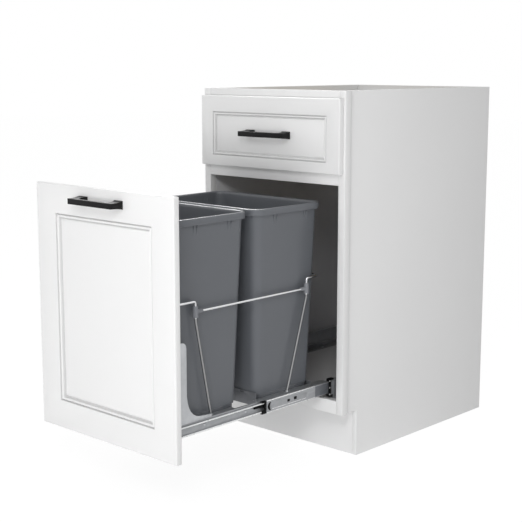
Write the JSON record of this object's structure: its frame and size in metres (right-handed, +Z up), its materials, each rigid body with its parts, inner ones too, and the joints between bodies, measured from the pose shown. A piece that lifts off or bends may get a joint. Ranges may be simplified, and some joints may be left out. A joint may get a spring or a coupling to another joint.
{
  "type": "pull out trash cabinet",
  "caption": "Face-frame base cabinet with a drawer over a door that rolls out on ball-bearing slides and carries a wire frame with removable bins.",
  "frame": {"origin": "middle of the footprint on the floor, with the pull-out drawn out as at rest", "axes": "+Z up, -Y out of the cabinet's front towards the user, +X to the user's right when facing the front"},
  "size_m": [0.4572, 1.1698, 0.8763],
  "materials": {
    "front_paint": "white painted medium-density fibreboard, satin",
    "frame_paint": "white painted hardwood, satin",
    "side_paint": "white laminated board, satin",
    "carcass_board": "laminated plywood, matt",
    "drawer_ply": "clear lacquered birch plywood",
    "black_handle": "zinc casting, matt black powder coat",
    "zinc_steel": "zinc-plated sheet steel",
    "chrome_wire": "bright chrome plated steel wire",
    "grey_nylon": "moulded nylon",
    "black_nylon": "moulded nylon",
    "bin_plastic": "injection moulded polypropylene"
  },
  "bodies": {
    "carcass": {"side_panel_left": "side_paint", "side_panel_right": "side_paint", "back_panel": "carcass_board", "floor_panel": "carcass_board", "toe_kick_board": "side_paint", "back_rail": "carcass_board", "corner_brace_left": "carcass_board", "corner_brace_right": "carcass_board", "stile_left": "frame_paint", "stile_right": "frame_paint", "rail_bottom": "frame_paint", "rail_middle": "frame_paint", "rail_top": "frame_paint", "slide_outer_left": "zinc_steel", "slide_outer_right": "zinc_steel", "slide_foot_left": "zinc_steel", "slide_foot_right": "zinc_steel", "drawer_slide_outer_left": "zinc_steel", "drawer_slide_outer_right": "zinc_steel"},
    "pull_out": {"door_front": "front_paint", "door_handle": "black_handle", "door_handle_screw_left": "zinc_steel", "door_handle_screw_right": "zinc_steel", "door_bracket_left": "zinc_steel", "door_bracket_right": "zinc_steel", "base_rail_left": "zinc_steel", "base_rail_right": "zinc_steel", "cross_rail_1": "zinc_steel", "cross_rail_2": "zinc_steel", "cross_rail_3": "zinc_steel", "cross_rail_4": "zinc_steel", "wire_hoop_front": "chrome_wire", "wire_hoop_rear": "chrome_wire", "side_rod_left": "chrome_wire", "side_rod_right": "chrome_wire", "rod_clip_front_left": "grey_nylon", "rod_clip_front_right": "grey_nylon", "rod_clip_rear_left": "grey_nylon", "rod_clip_rear_right": "grey_nylon", "slide_inner_left": "zinc_steel", "slide_inner_right": "zinc_steel"},
    "slide_middles": {"slide_middle_left": "zinc_steel", "slide_middle_right": "zinc_steel", "slide_bumper_left": "black_nylon", "slide_bumper_right": "black_nylon"},
    "lever_left": {"release_lever_left": "black_nylon"},
    "lever_right": {"release_lever_right": "black_nylon"},
    "front_bin": {"bin_front": "bin_plastic"},
    "rear_bin": {"bin_rear": "bin_plastic"},
    "drawer": {"drawer_front": "front_paint", "drawer_handle": "black_handle", "drawer_side_left": "drawer_ply", "drawer_side_right": "drawer_ply", "drawer_box_front": "drawer_ply", "drawer_box_back": "drawer_ply", "drawer_bottom": "drawer_ply", "drawer_slide_inner_left": "zinc_steel", "drawer_slide_inner_right": "zinc_steel"},
    "drawer_slide_middles": {"drawer_slide_middle_left": "zinc_steel", "drawer_slide_middle_right": "zinc_steel"}
  },
  "joints": [
    {"name": "pull_out_slide", "type": "slide", "parent": "carcass", "child": "pull_out", "axis": [0, -1, 0], "range_m": [-0.512, 0]},
    {"name": "slide_middles_travel", "type": "slide", "parent": "carcass", "child": "slide_middles", "axis": [0, -1, 0], "range_m": [-0.256, 0]},
    {"name": "drawer_slide", "type": "slide", "parent": "carcass", "child": "drawer", "axis": [0, -1, 0], "range_m": [0, 0.508]},
    {"name": "drawer_slide_middles_travel", "type": "slide", "parent": "carcass", "child": "drawer_slide_middles", "axis": [0, -1, 0], "range_m": [0, 0.254]},
    {"name": "front_bin_lift", "type": "slide", "parent": "pull_out", "child": "front_bin", "axis": [0, 0, 1], "range_m": [0, 0.034]},
    {"name": "rear_bin_lift", "type": "slide", "parent": "pull_out", "child": "rear_bin", "axis": [0, 0, 1], "range_m": [0, 0.034]},
    {"name": "release_lever_left_press", "type": "hinge", "parent": "pull_out", "child": "lever_left", "pos_m": [-0.1737, -0.2187, 0.1737], "axis": [1, 0, 0], "range_deg": [0, 8], "stiffness_Nm_per_rad": 0.1},
    {"name": "release_lever_right_press", "type": "hinge", "parent": "pull_out", "child": "lever_right", "pos_m": [0.1737, -0.2187, 0.1737], "axis": [1, 0, 0], "range_deg": [0, 8], "stiffness_Nm_per_rad": 0.1}
  ],
  "couplings": [
    {"joint": "slide_middles_travel", "follows": "pull_out_slide", "ratio": 0.5},
    {"joint": "drawer_slide_middles_travel", "follows": "drawer_slide", "ratio": 0.5}
  ]
}
